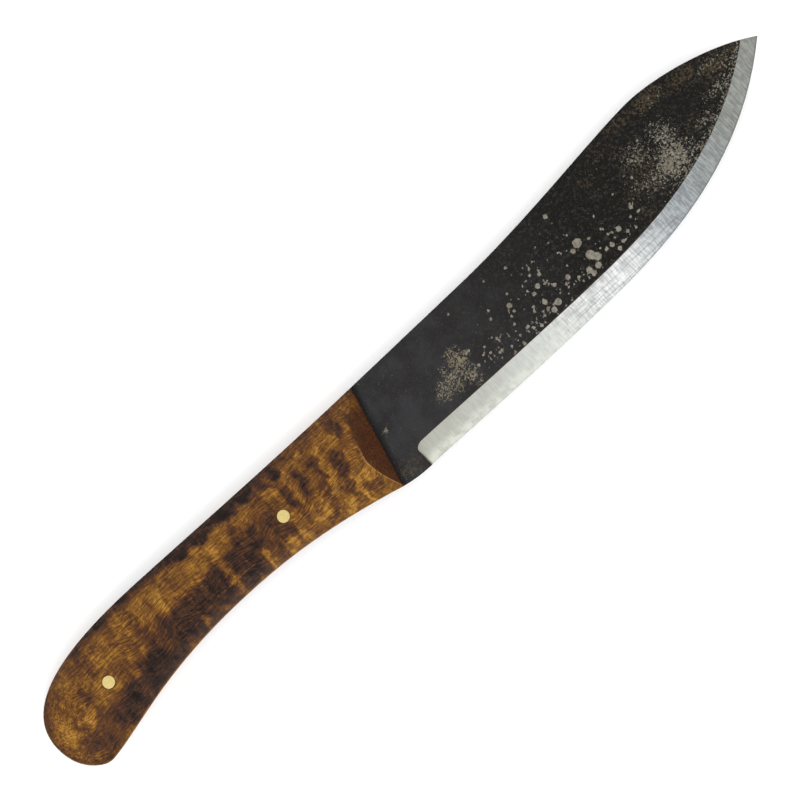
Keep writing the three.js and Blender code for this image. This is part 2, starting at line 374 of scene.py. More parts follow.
# Soft patches as centre, radii and strength.
LACE = (
    ((33.4, 0.4, 4.2, 5.4), 1.0), ((33.8, -5.0, 3.2, 5.6), 0.85), ((28.8, -2.6, 6.0, 5.4), 0.85),
    ((24.4, -4.0, 4.2, 4.0), 0.75),
)
SPECKLE = (
    ((122, -0.5, 10, 8), 1.0), ((124.5, 7, 6, 7), 0.75), ((115, 8, 7, 5.5), 0.55), ((114, -1, 8, 6), 0.6),
    ((108, 1.5, 4, 3), 0.4), ((131, -3, 6, 3), 0.6), ((138, 1.5, 7, 3), 0.6), ((147, 6, 8, 3.6), 0.65),
    ((153, 10.5, 6, 3.6), 0.55), ((149, 13, 7, 3), 0.45), ((129, 17, 7, 3), 0.3), ((3, -0.3, 1.6, 1), 1.0),
)
MOTTLE = (
    ((106, 17, 6, 5), 0.5), ((117, 19, 9, 3.8), 0.6), ((128, 18, 9, 4.2), 0.9), ((141, 16, 9, 4.2), 0.85),
    ((149, 12, 7, 5), 0.9), ((105, -6, 5, 4), 0.6), ((111, 12, 6, 5), 0.5), ((156, 12, 6, 3), 0.8),
    ((1, -14, 6, 5), 0.7), ((112, 3, 9, 10), 0.55), ((104, 1, 5, 6), 0.35), ((98, 13, 6, 6), 0.3),
    ((134, 3, 6, 4), 0.5),
)


def patch_field(x, y, patches):
    """Where soft patches lie: 0 outside them all, up to 1 in their middles."""
    field = np.zeros_like(x)
    for (cx, cy, rx, ry), strength in patches:
        reach = np.hypot((x - cx) / rx, (y - cy) / ry)
        field = np.maximum(field, strength * (1 - smooth(reach, 0.1, 1.2)))
    return field


def spot_field(x, y, seed):
    """Distance to the nearest worn spot's rim, negative inside it."""
    random = np.random.default_rng(seed)
    spots = list(ROUND_SPOTS)
    for centre, spread, count in SPOT_CLOUDS:
        for _ in range(count):
            place = random.normal(centre, np.array(spread) * 0.75)
            spots.append((*place, 0.1 + 0.4 * random.random() ** 4))
    field = np.full_like(x, 5.0)
    for cx, cy, radius in spots:
        field = np.minimum(field, np.hypot(x - cx, y - cy) - radius)
    return field


def blade_marks(places, stations, low, line, high):
    """What the blade's roughening and its material need to know at each vertex."""
    x, y, z = places.T
    flat = places[:, :2]
    grinding = stations >= PLUNGE_X
    inner = np.stack([stations[grinding], line[grinding]], -1)
    plunge = np.array([[PLUNGE_X, low[grinding][0] - 3], inner[0]])
    edge = np.stack([stations[grinding], low[grinding]], -1)
    spine = np.stack([stations, high], -1)
    grip = np.stack([stations, low], -1)
    below = y < np.interp(x, stations, line)
    inside = below & (x > PLUNGE_X)
    to_bevel = distance_to_path(flat, np.concatenate([plunge, inner]))
    to_edge = distance_to_path(flat, edge)
    on_right = z > 0
    wear_x = np.where(on_right, x, 2 * BLADE_TURN_X - x)
    wear_y = np.where(on_right, y, y * 0.9 - 1)
    return {
        "beyond_bevel": np.where(inside, -to_bevel, to_bevel),
        "from_edge": to_edge,
        "from_outline": np.minimum(distance_to_path(flat, spine), distance_to_path(flat, grip)),
        "ahead_of_wood": -behind_front(x, y),
        "from_spot": spot_field(wear_x, wear_y, 5),
        "lace": patch_field(wear_x, wear_y, LACE),
        "speckle": patch_field(wear_x, wear_y, SPECKLE),
        "mottle": patch_field(wear_x, wear_y, MOTTLE),
    }


def blade():
    """The blade and its tang, one forging."""
    stations = blade_stations()
    low, high = np.array([outline_at(x) for x in stations]).T
    line = bevel_line(stations, low, high)
    slope = np.gradient(high, stations)
    rings = [blade_ring(*section) for section in zip(stations, low, line, high, slope)]
    places, faces = tube(np.array(rings))
    marks = blade_marks(places, stations, low, line, high)
    piece = mesh_object("forged_blade", roughened(places, marks), faces)
    marks.pop("from_outline")  # only the roughening needs it
    smooth_shading(piece, STEEL_EDGE)
    for name, values in marks.items():
        paint(piece, name, values)
    place_in_frame(piece, "blade", steel_material())


# ---------------------------------------------------------------- handle scales

SCALE_ROWS = 72


def along_front(y):
    """Where the front line runs at a height across the knife."""
    (x0, y0), (x1, y1) = FRONT_LINE
    return x0 + (x1 - x0) * (y - y0) / (y1 - y0)


def behind_front(x, y):
    """How far a place lies behind the front line, square to it."""
    (x0, y0), (x1, y1) = FRONT_LINE
    return (along_front(y) - x) * (y1 - y0) / math.hypot(x1 - x0, y1 - y0)


def scale_stations():
    """Places along the handle for the wood's sections, from the butt to the front."""
    butt = eased_end(BUTT_X + END_GAP, 14, 56)
    return np.concatenate([
        butt,
        stretch(butt[-1] + 0.4, -12, 0.75),
        stretch(-12, 0, 0.22),
        [0.0],
    ])


def facet_height(x, y):
    """The front facet's plane above the tang, carried on past its ridge."""
    return FACET_STEP + behind_front(x, y) * (SCALE_THICKNESS - FACET_STEP) / FACET_LENGTH


def dome_height(places, outline):
    """The wood above the tang without its facet: full on the flat strip, rounded down to the outline."""
    x, y = places.T
    behind_land = np.minimum(x - LAND_END_X, 0)
    to_land = np.maximum(np.hypot(behind_land, y - PIN_LOW[1] - PIN_RADIUS) - LAND_WIDTH / 2, 0)
    to_outline = distance_to_path(places, outline)
    outwards = to_land / (to_land + to_outline)
    return SCALE_THICKNESS + (RIM_HEIGHT - SCALE_THICKNESS) * outwards ** SHOULDER_POWER


def wood_height(places, outline):
    """The wood above the tang, with a softly worn ridge where the facet meets the dome."""
    slope, dome = facet_height(*places.T), dome_height(places, outline)
    return (slope + dome - np.sqrt((slope - dome) ** 2 + RIDGE_SOFTNESS ** 2)) / 2


def scale_grid():
    """Places over the tang for the wood's mesh, one row of them for each station."""
    rows = []
    for x in scale_stations():
        lean = max(1 + x / 50, 0)  # the rows turn from the front line's slant to square over 50 mm
        low_x, high_x = (max(x + lean * end, BUTT_X + END_GAP) for end, _ in FRONT_LINE)
        low, high = outline_at(low_x)[0], outline_at(high_x)[1]
        share = (1 - np.cos(np.linspace(0, math.pi, SCALE_ROWS))) / 2
        share = 0.6 * share + 0.4 * np.linspace(0, 1, SCALE_ROWS)
        rows.append(np.stack([low_x + (high_x - low_x) * share, low + (high - low) * share], -1))
    return np.array(rows)


def wood_marks(places, outline, side):
    """What the wood's material needs at each vertex: how light the stain is, with painted shade along the
    spine edge and round the butt, and how near the rims.
    """
    x, y, _ = places.T
    flat = places[:, :2]
    figure_x = x if side > 0 else 2 * HANDLE_TURN_X - x
    from_grip = distance_to_path(flat, outline["low"])
    from_spine = distance_to_path(flat, outline["high"])
    from_pins = [np.hypot(x - pin[0], y - pin[1]) - PIN_RADIUS for pin in PINS.values()]
    return {
        "tone": stain_and_shade_tone(figure_x, y, from_spine, from_grip),
        "from_grip": from_grip,
        "behind_front": behind_front(x, y),
        "past_ridge": dome_height(flat, outline["all"]) - facet_height(x, y),
        "from_pin": np.min(from_pins, axis=0),
    }


# The stain's figure on the right scale, as soft strokes: from, to, half-width and strength. The last dark
# stroke is painted shade over the rear of the grip's lower edge.
DARK_STROKES = (
    ((-124, -9), (-112, -9), 4.0, 0.26), ((-112, -8), (-90, -5), 4.6, 0.42),
    ((-96, -4), (-68, 0), 5.0, 0.42), ((-86, 1.5), (-62, 1.8), 3.8, 0.40),
    ((-78, -4.5), (-50, -3.5), 3.6, 0.40), ((-58, 2), (-50, 3), 4.6, 0.42),
    ((-50, 3), (-38, 4), 3.8, 0.27), ((-45, -1), (-38, -1), 3.0, 0.24),
    ((-14.5, -1), (-13, 5), 1.9, 0.40), ((-20.5, 2), (-19.5, 8), 1.4, 0.30),
    ((-26, 2), (-25, 9), 1.6, 0.30), ((-32, 3), (-31, 8), 1.7, 0.34),
    ((-7.5, 9), (-7, 10.5), 1.5, 0.38), ((-35.5, 15), (-35, 12), 1.6, 0.42),
    ((-30.5, 15.5), (-30, 13), 1.3, 0.40), ((-68, 16.2), (-40, 15.3), 1.9, 0.58),
    ((-25, 15.5), (-24.5, 14), 1.2, 0.38), ((-8.5, 15), (-8, 13), 1.5, 0.34),
    ((-125, -3), (-124.5, 5), 0.9, 0.18), ((-117, -4), (-116.5, 5), 0.9, 0.18),
    ((-121.5, 1), (-121, 5), 0.8, 0.14), ((-110, 7), (-109.5, 12), 1.6, 0.10),
    ((-94, 5), (-90, 7), 2.0, 0.14), ((-42, 7), (-40, 12), 1.6, 0.10),
    ((-52, 8), (-50, 10), 1.5, 0.18), ((-5, 0), (-1, 9), 2.4, 0.22),
    ((-17, -7), (-16, -4), 1.2, 0.20), ((-23, -6), (-22, 0), 1.4, 0.20),
    # painted shade: darkens the sheen along the rear of the grip's lower edge
    ((-122, -12.6), (-108, -11.6), 1.5, 0.20),
)
LIGHT_STROKES = (
    ((-129, -3), (-127.5, 3), 2.2, 0.20), ((-120.5, -3), (-120, 2), 1.3, 0.20),
    ((-113, -3), (-112, 1), 1.6, 0.10), ((-83, 6), (-82, 10), 1.9, 0.16),
    ((-96, 0), (-95.5, 5), 1.2, 0.12), ((-104, 10), (-90, 12), 3.5, 0.08),
    ((-75, -7), (-75, -3), 0.8, 0.42), ((-67.5, -7), (-67.5, -4), 0.7, 0.32),
    ((-60.5, -6), (-60, 6), 1.3, 0.40), ((-60, 6), (-59.5, 10), 1.3, 0.16),
    ((-66, 8), (-62, 12), 3.0, 0.12), ((-56, 10), (-44, 11), 2.5, 0.04),
    ((-49.5, -7), (-48, -2), 1.2, 0.46), ((-54.5, -7), (-54, -5.5), 1.0, 0.40),
    ((-40.5, -8), (-39.5, -3), 0.8, 0.24), ((-36, -9), (-34.8, 0), 0.7, 0.20),
    ((-29, -6), (-25, -5), 1.7, 0.32), ((-30, -1), (-28, 12), 1.0, 0.10),
    ((-25, -1), (-22, 13), 1.0, 0.12), ((-20, -11), (-18.5, -7), 1.0, 0.30),
    ((-19.5, -3), (-16.5, 10), 1.1, 0.22), ((-14, -13), (-13.5, -5), 0.9, 0.38),
    ((-12, -6), (-7, -5), 1.5, 0.20), ((-11, 8), (-10, 9), 1.2, 0.16),
)


def stroke_field(places, strokes):
    """The strongest of the soft strokes at each place."""
    field = np.zeros(len(places))
    for start, end, width, strength in strokes:
        reach = distance_to_path(places, np.array([start, end], float))
        field = np.maximum(field, strength * (1 - smooth(reach, 0.4 * width, 1.5 * width)))
    return field


def stain_and_shade_tone(x, y, from_spine, from_grip):
    """How light the stained wood is at each place, from 0, near black, to 1, pale gold, darkened along the
    spine edge by stain and painted shade and round the butt's rim by painted shade.
    """
    wobble_x = 0.7 * ripple(x, y, 5.0, 21) + 0.4 * ripple(x, y, 2.2, 24)
    wobble_y = 0.7 * ripple(x, y, 5.0, 22) + 0.4 * ripple(x, y, 2.2, 25)
    tone = STAIN_LEVEL + 0.05 * ripple(x, y, 9.0, 23)
    places = np.stack([x + wobble_x, y + wobble_y], -1)
    # painted shade: a darker band along the spine's rounded edge, partly stain, and a darker rim round the
    # butt
    spine_band_stain_and_shade = (1 - smooth(from_spine + 0.6 * wobble_y, 0.8, 3.8)) * smooth(x, -124, -100)
    spine_band_stain_and_shade *= 0.42 * (1 - 0.6 * smooth(x, -42, -22))
    butt_rim_shade = (1 - smooth(np.minimum(from_spine, from_grip), 0.4, 2.6)) * (1 - smooth(x, -122, -108))
    tone -= np.maximum(stroke_field(places, DARK_STROKES), np.maximum(spine_band_stain_and_shade, 0.2 * butt_rim_shade))
    return tone + stroke_field(places, LIGHT_STROKES)


def circle(centre, radius, z):
    """A ring of points round a pin's line."""
    turn = np.linspace(0, 2 * math.pi, PIN_SIDES, endpoint=False)
    x, y = centre[0] + radius * np.cos(turn), centre[1] + radius * np.sin(turn)
    return np.stack([x, y, np.full(PIN_SIDES, z)], -1)


def pin_cutters():
    """Cylinders that clear each pin by its gap, for cutting the holes in the wood."""
    cutters = []
    for name, place in PINS.items():
        rings = [circle(place, PIN_RADIUS + PIN_CLEARANCE, z) for z in (FAR / 4, -FAR / 4)]
        places, faces = tube(np.array(rings))
        cutters.append(mesh_object("cutter_" + name, places, faces))
    return cutters


def cut_pin_holes(piece):
    """Bores a scale for its two pins."""
    for cutter in pin_cutters():
        hole = piece.modifiers.new("hole", "BOOLEAN")
        hole.object = cutter
        hole.solver = "EXACT"
        shown = bpy.context.evaluated_depsgraph_get()
        cut = bpy.data.meshes.new_from_object(piece.evaluated_get(shown))
        piece.modifiers.clear()
        piece.data = cut
        bpy.data.objects.remove(cutter)


def handle_scale(node, side, material):
    """One wooden scale on the right side, 1, or the left side, -1."""
    grid = scale_grid()
    outline = {"low": grid[:, 0], "high": grid[:, -1]}
    outline["all"] = np.concatenate([outline["low"][::-1], outline["high"]])
    height = wood_height(grid.reshape(-1, 2), outline["all"])
    height = height.reshape(grid.shape[:2])
    top = np.dstack([grid, HALF_STEEL + height])
    bottom = np.dstack([grid, np.full_like(height, HALF_STEEL)])
    rings = np.concatenate([bottom, top[:, ::-1]], axis=1)
    rings[..., 2] *= side
    places, faces = tube(rings)
    if side < 0:
        faces = faces[:, ::-1]
    piece = mesh_object("maple_" + node, places, faces)
    cut_pin_holes(piece)
    smooth_shading(piece, WOOD_EDGE)
    for name, values in wood_marks(places_of(piece), outline, side).items():
        paint(piece, name, values)
    place_in_frame(piece, node, material)


# ---------------------------------------------------------------- pins

def pin(node, material):
    """A pin turned from brass rod: faintly crowned ends with a broken rim."""
    place = PINS[node]
    half = PIN_HIGH[2]
    profile = [(PIN_RADIUS * share, half - PIN_CROWN * share ** 2) for share in (0.25, 0.5, 0.75, 0.9)]
    for turn in np.linspace(0, math.pi / 2, 4):
        radius = PIN_RADIUS - PIN_RIM + PIN_RIM * math.sin(turn)
        profile.append((radius, half - PIN_CROWN - PIN_RIM + PIN_RIM * math.cos(turn)))
    profile += [(radius, -z) for radius, z in reversed(profile)]
    places, faces = tube(np.array([circle(place, radius, z) for radius, z in profile]))
    piece = mesh_object("brass_" + node, places, faces)
    smooth_shading(piece, BRASS_EDGE)
    place_in_frame(piece, node, material)


# ---------------------------------------------------------------- materials

def srgb(red, green, blue):
    """The linear colour that shows as this screen colour, 0 to 255, in the room's light."""
    def linear(value):
        """One channel, by the sRGB standard's curve."""
        share = value / 255
        return share / 12.92 if share <= 0.04045 else ((share + 0.055) / 1.055) ** 2.4
    return (*(linear(value) / LIGHT_LEVEL for value in (red, green, blue)), 1.0)


class Nodes:
    """Builds a material's nodes. Each call adds one node and returns its output."""

    def __init__(self, name, **constants):
        self.material = bpy.data.materials.new(name)
        self.material.use_nodes = True
        self.tree = self.material.node_tree
        self.shader = self.tree.nodes["Principled BSDF"]
        for socket, value in constants.items():
            self.shader.inputs[socket.replace("_", " ")].default_value = value
        position = self.add("ShaderNodeTexCoord").outputs["Object"]
        scaled = self.add("ShaderNodeVectorMath", operation="MULTIPLY_ADD")
        self.feed(scaled.inputs[0], position)
        scaled.inputs[1].default_value = (1 / MM,) * 3
        scaled.inputs[2].default_value = -ORIGIN
        self.place = scaled.outputs[0]

    def add(self, kind, **settings):
        node = self.tree.nodes.new(kind)
        for name, value in settings.items():
            setattr(node, name, value)
        return node

    def feed(self, socket, value):
        if isinstance(value, bpy.types.NodeSocket):
            self.tree.links.new(value, socket)
        else:
            socket.default_value = value

    def mark(self, name):
        return self.add("ShaderNodeAttribute", attribute_name=name).outputs["Fac"]

    def axes(self):
        node = self.add("ShaderNodeSeparateXYZ")
        self.feed(node.inputs[0], self.place)
        return node.outputs

    def stretched(self, x=1.0, y=1.0, z=1.0, turn=0.0, source=None):
        """Coordinates in millimetres, scaled along each direction after a turn about z."""
        node = self.add("ShaderNodeMapping")
        self.feed(node.inputs["Vector"], source or self.place)
        node.inputs["Rotation"].default_value = (0, 0, math.radians(turn))
        node.inputs["Scale"].default_value = (x, y, z)
        return node.outputs[0]

    def shifted(self, across):
        """Coordinates in millimetres, moved across the knife."""
        step = self.add("ShaderNodeCombineXYZ")
        self.feed(step.inputs["Y"], across)
        node = self.add("ShaderNodeVectorMath", operation="ADD")
        self.feed(node.inputs[0], self.place)
        self.feed(node.inputs[1], step.outputs[0])
        return node.outputs[0]

    def noise(self, scale, detail=3.0, roughness=0.5, place=None, distortion=0.0):
        node = self.add("ShaderNodeTexNoise")
        self.feed(node.inputs["Vector"], place or self.place)
        node.inputs["Scale"].default_value = scale
        node.inputs["Detail"].default_value = detail
        node.inputs["Roughness"].default_value = roughness
        node.inputs["Distortion"].default_value = distortion
        return node.outputs["Fac"]

    def math(self, operation, a, b=0.0):
        node = self.add("ShaderNodeMath", operation=operation)
        self.feed(node.inputs[0], a)
        self.feed(node.inputs[1], b)
        return node.outputs[0]

    def plus(self, *values):
        total = values[0]
        for value in values[1:]:
            total = self.math("ADD", total, value)
        return total

    def times(self, *values):
        product = values[0]
        for value in values[1:]:
            product = self.math("MULTIPLY", product, value)
        return product

    def swing(self, value, amount):
        """A noise turned into a push of up to about half of amount either way."""
        return self.times(self.plus(value, -0.5), amount)

    def fade(self, value, low, high, to_low=0.0, to_high=1.0):
        """Maps low to to_low and high to to_high, smooth between and level outside."""
        node = self.add("ShaderNodeMapRange", interpolation_type="SMOOTHSTEP")
        for socket, number in zip(node.inputs, (value, low, high, to_low, to_high)):
            self.feed(socket, number)
        return node.outputs[0]

    def mix(self, factor, a, b):
        node = self.add("ShaderNodeMix", data_type="RGBA")
        self.feed(node.inputs["Factor"], factor)
        self.feed(node.inputs["A"], a)
        self.feed(node.inputs["B"], b)
        return node.outputs["Result"]

    def blend(self, factor, a, b):
        node = self.add("ShaderNodeMix", data_type="FLOAT")
        self.feed(node.inputs["Factor"], factor)
        self.feed(node.inputs["A"], a)
        self.feed(node.inputs["B"], b)
        return node.outputs["Result"]

    def ramp(self, factor, *stops):
        node = self.add("ShaderNodeValToRGB")
        self.feed(node.inputs["Fac"], factor)
        elements = node.color_ramp.elements
        while len(elements) < len(stops):
            elements.new(0.5)
        for element, (position, colour) in zip(elements, stops):
            element.position = position
            element.color = colour
        return node.outputs["Color"]

    def bump(self, height, depth):
        """A bump as deep as depth millimetres where height goes from 0 to 1."""
        node = self.add("ShaderNodeBump")
        node.inputs["Strength"].default_value = 1.0
        node.inputs["Distance"].default_value = depth * MM
        self.feed(node.inputs["Height"], height)
        return node.outputs["Normal"]

    def finish(self, **inputs):
        for name, value in inputs.items():
            self.feed(self.shader.inputs[name.replace("_", " ")], value)
        return self.material


# Forge scale and its wear
SCALE_DARK, SCALE_CLOUD = srgb(38, 36, 37), srgb(50, 50, 52)  # near the handle
SCALE_BLACK, CRUST, GRAIN = srgb(17, 16, 14), srgb(64, 61, 54), srgb(58, 58, 56)
# The first colour on the next line is painted shade on the steel beside the wood; the second is rust.
PAINTED_SHADE_BY_WOOD, RUST = srgb(17, 15, 14), srgb(56, 40, 26)
MOTTLE_BROWN, SPECKLE_TAN, FLECK_PALE, LACE_TAN = (
    srgb(86, 72, 52), srgb(124, 117, 102), srgb(158, 155, 144), srgb(132, 123, 103))
SPOT_TAN, SPOT_PALE = srgb(116, 109, 96), srgb(150, 145, 133)
# Ground bevel, and its colour at shares of the way from the front line to the tip. That colour is the
# steel's grey with a painted reflection over it, brightest from 0.45 to 0.55 of the way.
BEVEL_SHADE, HONED, BURR = srgb(84, 86, 88), srgb(226, 228, 216), srgb(96, 98, 98)
BEVEL_GREY_AND_PAINTED_REFLECTION = (
    (0.04, srgb(173, 174, 163)),
    (0.20, srgb(186, 188, 180)),
    (0.32, srgb(207, 209, 204)),
    (0.45, srgb(236, 238, 236)),
    (0.55, srgb(240, 242, 242)),
    (0.65, srgb(190, 195, 198)),
    (0.74, srgb(169, 174, 175)),
    (0.85, srgb(164, 167, 161)),
    (1.00, srgb(163, 164, 157)),
)


def forge_scale(n, along, cloud):
    """The scale's colour, blue-black near the handle and blacker further out, with painted shade beside
    the wood, and its relief.
    """
    grain = n.noise(1.9, 4, 0.7)
    crust = n.noise(0.7, 5, 0.75)
    outer = n.fade(along, 20, 92)
    near_handle = n.mix(n.fade(cloud, 0.35, 0.68), SCALE_DARK, SCALE_CLOUD)
    colour = n.mix(outer, near_handle, SCALE_BLACK)
    crusted = n.times(n.fade(crust, 0.52, 0.62), n.blend(outer, 0.12, 0.42))
    colour = n.mix(crusted, colour, CRUST)
    colour = n.mix(n.fade(grain, 0.52, 0.66, 0.0, 0.35), colour, GRAIN)
    # painted shade: the steel darkens over the last few millimetres before the wood
    colour = n.mix(n.fade(n.mark("ahead_of_wood"), 2.6, 0.2, 0.0, 0.75), colour, PAINTED_SHADE_BY_WOOD)
    return colour, n.plus(n.times(grain, 0.5), n.times(crust, 0.6))


def worn_scale(n, colour, beyond, along):
    """The scale's colour with its wear over it, and how worn it is."""
    ragged = n.swing(n.noise(1.6, 3, 0.6), 0.9)
    mottle_mark, lace_mark = n.mark("mottle"), n.mark("lace")
    beside_bevel = n.times(n.fade(beyond, 3.2, 0.3), n.fade(along, 106, 122), 0.62)
    speckle_mark = n.math("MAXIMUM", n.mark("speckle"), beside_bevel)

    mottle = n.fade(n.plus(n.times(mottle_mark, 0.15), n.noise(0.95, 5, 0.72)), 0.57, 0.69)
    mottle = n.times(mottle, n.fade(mottle_mark, 0.02, 0.3, 0.15, 1.0))
    speckle = n.fade(n.plus(n.times(speckle_mark, 0.23), n.noise(1.35, 4, 0.7)), 0.64, 0.75)
    fleck = n.fade(n.plus(n.times(speckle_mark, 0.12), n.noise(1.7, 2, 0.6)), 0.66, 0.72)
    fleck = n.times(fleck, n.fade(speckle_mark, 0.02, 0.2, 0.1, 1.0))
    weave = n.plus(n.noise(1.2, 3, 0.6, distortion=1.3), n.times(lace_mark, 0.12))
    lace = n.times(n.fade(weave, 0.575, 0.65), n.fade(n.plus(lace_mark, ragged), 0.04, 0.3))
    spot = n.fade(n.plus(n.mark("from_spot"), ragged), 0.06, -0.1)

    colour = n.mix(n.times(mottle, 0.55), colour, MOTTLE_BROWN)
    colour = n.mix(n.times(speckle, 0.85), colour, SPECKLE_TAN)
    colour = n.mix(n.times(fleck, 0.7), colour, FLECK_PALE)
    colour = n.mix(n.times(lace, 0.85), colour, LACE_TAN)
    spot_colour = n.mix(n.fade(n.noise(0.9, 3), 0.3, 0.7), SPOT_TAN, SPOT_PALE)
    colour = n.mix(n.times(spot, 0.95), colour, spot_colour)
    worn = n.math("MAXIMUM", spot, n.math("MAXIMUM", n.times(lace, 0.6), n.times(speckle, 0.6)))
    return colour, worn


def rusty_line(n, colour, beyond, along):
    """The scale's colour with the broken brown line that runs along the bevel."""
    rust = n.times(n.fade(beyond, 0.55, 0.0), n.fade(n.noise(0.5, 3), 0.4, 0.6, 0.3, 1.0))
    return n.mix(n.times(rust, n.fade(along, 120, 104, 0.25, 1.0)), colour, RUST)


def ground_bevel(n, along):
    """The bevel's colour, with a painted reflection along it, lines across it and scratches along it, and
    how those lines run.
    """
    lines = n.noise(1.0, 4, 0.7, place=n.stretched(1.4, 0.12, 0.4, turn=-3))
    hair = n.noise(1.0, 3, 0.6, place=n.stretched(2.3, 0.35, 0.4, turn=4), distortion=0.3)
    haze = n.noise(0.4, 4, 0.65)
    drag = n.noise(1.0, 3, 0.6, place=n.stretched(0.06, 1.3, 0.4, turn=-4), distortion=0.3)
    satin = n.plus(n.times(lines, 0.35), n.times(hair, 0.4), n.times(haze, 0.25))
    scratched = n.times(n.fade(drag, 0.5, 0.58), n.fade(along, 52, 75), n.fade(along, 122, 104))
    deepest = n.times(n.fade(along, 45, 80, 0.85, 0.6), n.fade(along, 98, 112, 1.0, 0.82))
    shade = n.times(n.blend(n.fade(satin, 0.42, 0.58), deepest, 1.0), n.blend(scratched, 1.0, 0.7))
    # painted reflection: the bevel's grey brightens in a band along the blade and fades towards the tip
    finish = n.ramp(n.math("DIVIDE", along, TIP_X), *BEVEL_GREY_AND_PAINTED_REFLECTION)
    colour = n.mix(shade, BEVEL_SHADE, finish)

    from_edge = n.mark("from_edge")
    honed = n.times(n.fade(from_edge, 4.5, 1.0), n.fade(along, 80, 45))
    honed = n.times(honed, n.fade(haze, 0.35, 0.6, 0.1, 0.5))
    colour = n.mix(honed, colour, HONED)
    burr = n.times(n.fade(from_edge, 0.6, 0.2), n.fade(along, 60, 110, 0.0, 0.5))
    return n.mix(burr, colour, BURR), satin


def steel_material():
    """Black forge scale, worn through in spots and patches, with painted shade beside the wood, over a
    satin ground bevel with a painted reflection along it.
    """
    n = Nodes("forged_steel", Specular_IOR_Level=0.07)
    along = n.axes()["X"]
    beyond = n.mark("beyond_bevel")
    cloud = n.noise(0.12, 4, 0.6)
    scale, scale_relief = forge_scale(n, along, cloud)
    scale, worn = worn_scale(n, scale, beyond, along)
    scale = rusty_line(n, scale, beyond, along)
    bevel, satin = ground_bevel(n, along)
    ground = n.fade(beyond, -0.05, -0.2)
    scale_roughness = n.blend(worn, n.fade(cloud, 0.3, 0.7, 0.45, 0.6), 0.5)
    relief = n.blend(ground, n.plus(scale_relief, n.times(worn, -0.5)), n.times(satin, 0.25))
    return n.finish(
        Base_Color=n.mix(ground, scale, bevel),
        Metallic=n.blend(ground, n.times(worn, 0.35), 1.0),
        Roughness=n.blend(ground, scale_roughness, n.fade(satin, 0.3, 0.7, 0.3, 0.42)),
        Normal=n.bump(relief, 0.05),
    )


# Short cracks along the grain, and lighter lines, as x from and to, and y at each end. The first three
# lighter lines are a painted highlight just below the flat strip's edge; the other two are paler lines in
# the wood.
CRACKS = (
    (-95.5, -88.5, 10.9, 10.8), (-14.6, -10.4, -8.3, -7.4), (-69.0, -65.5, 3.9, 3.2),
    (-119.0, -115.5, 6.4, 6.5),
)
PALE_LINES_AND_HIGHLIGHTS = (
    (-68.5, -52.0, -1.6, -2.0), (-33.0, -7.5, -2.2, -2.9), (-28.0, -19.0, -3.1, -3.3),
    (-23.5, -15.0, -10.2, -11.4), (-70.0, -66.0, 4.4, 3.2),
)
# The stain's colour at each tone
STAIN = (
    (0.00, srgb(22, 13, 11)),
    (0.20, srgb(55, 38, 31)),
    (0.35, srgb(77, 47, 30)),
    (0.50, srgb(97, 60, 28)),
    (0.65, srgb(118, 78, 32)),
    (0.82, srgb(147, 101, 37)),
    (1.00, srgb(180, 131, 56)),
)
# The last colour on the next line is a painted highlight for the facet's ridge.
FACET_DARK, FACET_RED, RIDGE_HIGHLIGHT = srgb(38, 18, 8), srgb(90, 49, 23), srgb(176, 128, 72)
# The last colour on the next line serves paler lines in the wood and a painted highlight below the flat
# strip.
STREAK, PORE, CRACK, PALE_LINE_AND_HIGHLIGHT = srgb(50, 32, 20), srgb(36, 21, 12), srgb(22, 13, 9), srgb(178, 132, 72)
PIN_RING, GRIP_RIM, JOINT_LINE = srgb(34, 21, 12), srgb(158, 116, 56), srgb(30, 18, 11)


def grain_lines(n, lines, half_width):
    """Thin lines with tapering ends, 1 in their middles."""
    x, y, _ = n.axes()
    wander = n.swing(n.noise(0.5, 2), 0.8)
    found = 0.0
    for start, end, start_y, end_y in lines:
        line = n.plus(n.times(n.plus(x, -start), (end_y - start_y) / (end - start)), start_y, wander)
        beside = n.math("ABSOLUTE", n.math("SUBTRACT", y, line))
        run = n.times(n.fade(x, start, start + 1), n.fade(x, end, end - 1))
        found = n.math("MAXIMUM", found, n.times(n.fade(beside, half_width, half_width / 5), run))
    return found


def stained_figure(n, fibres, silk):
    """The stained wood's colour, with curls across the grain and fibres along it."""
    curls = n.noise(1.0, 1, 0.5, place=n.stretched(0.36, 0.06, 0.1, turn=-8), distortion=0.7)
    ripples = n.noise(1.0, 2, 0.5, place=n.stretched(0.8, 0.3, 0.2, turn=-12), distortion=0.9)
    tone = n.plus(
        n.mark("tone"),
        n.swing(curls, 0.45),
        n.swing(ripples, 0.50),
        n.swing(fibres, 1.35),
        n.swing(silk, 0.75),
    )
    return n.ramp(tone, *STAIN)


def faceted(n, colour, behind_front):
    """The wood's colour with its darker, redder front facet and a painted highlight along the facet's
    ridge.
    """
    across = n.axes()["Y"]
    past_ridge = n.mark("past_ridge")
    red_brown = n.mix(n.fade(n.noise(2.0, 4, 0.8), 0.4, 0.6), FACET_DARK, FACET_RED)
    reach = n.plus(across, n.times(behind_front, 1.6))
    facet = n.times(n.fade(past_ridge, -0.1, 0.2), n.fade(reach, 8, 17, 0.92, 0.35))
    colour = n.mix(facet, colour, red_brown)
    # painted highlight along the facet's ridge, strongest low down and fading upwards
    ridge = n.times(n.fade(n.math("ABSOLUTE", past_ridge), 0.3, 0.05), n.fade(across, 6, -2))
    return n.mix(n.times(ridge, 0.6), colour, RIDGE_HIGHLIGHT)


